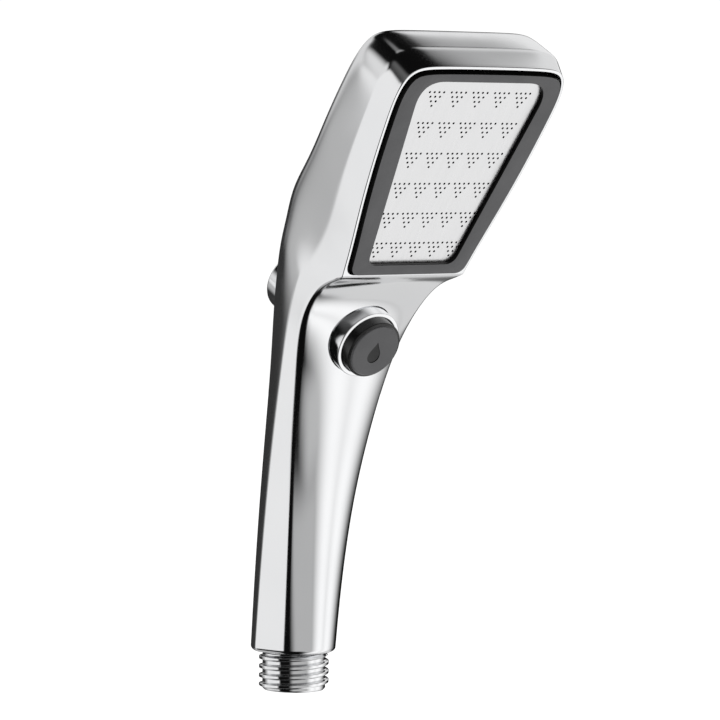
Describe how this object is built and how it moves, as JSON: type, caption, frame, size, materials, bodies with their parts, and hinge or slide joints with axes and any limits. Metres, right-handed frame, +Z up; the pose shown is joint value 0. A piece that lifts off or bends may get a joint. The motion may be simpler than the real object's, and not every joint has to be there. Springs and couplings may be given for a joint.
{
  "type": "handheld shower head",
  "caption": "Chrome handheld shower head with a tapered rectangular spray face, a push-through stop button across the neck and a threaded inlet.",
  "frame": {"origin": "centre of the threaded inlet's end face", "axes": "+Z up along the inlet thread, -Y to the front, where the spray face looks, +X to the right seen from the front"},
  "size_m": [0.0638, 0.0996, 0.1965],
  "materials": {
    "chrome_shell": "polished",
    "chrome_fittings": "polished",
    "spray_steel": "satin",
    "fastener_steel": "satin",
    "anthracite_ring": "satin",
    "grey_caps": "satin",
    "inner_plastic": "matte",
    "valve_brass": "satin",
    "rubber": "matte"
  },
  "bodies": {
    "body": {"casing": "chrome_shell", "face_ring": "anthracite_ring", "spray_plate": "spray_steel", "plate_gasket": "rubber", "distributor": "inner_plastic", "head_screw_1": "fastener_steel", "head_screw_2": "fastener_steel", "head_screw_3": "fastener_steel", "head_screw_4": "fastener_steel", "inlet_adapter": "chrome_fittings", "inlet_seal": "rubber", "flow_limiter": "inner_plastic", "filter_screen": "fastener_steel", "valve_body": "valve_brass", "front_collar": "chrome_fittings", "rear_collar": "chrome_fittings", "lower_tube_seal": "rubber", "upper_tube_seal": "rubber", "lower_tube": "inner_plastic", "upper_tube": "inner_plastic"},
    "push_valve": {"stop_button": "grey_caps", "rear_button": "grey_caps", "valve_spool": "valve_brass", "spool_seal_1": "rubber", "spool_seal_2": "rubber", "spool_seal_3": "rubber"}
  },
  "joints": [
    {"name": "button_push", "type": "slide", "parent": "body", "child": "push_valve", "axis": [0, 0.887, 0.4618], "range_m": [0, 0.0035]}
  ]
}
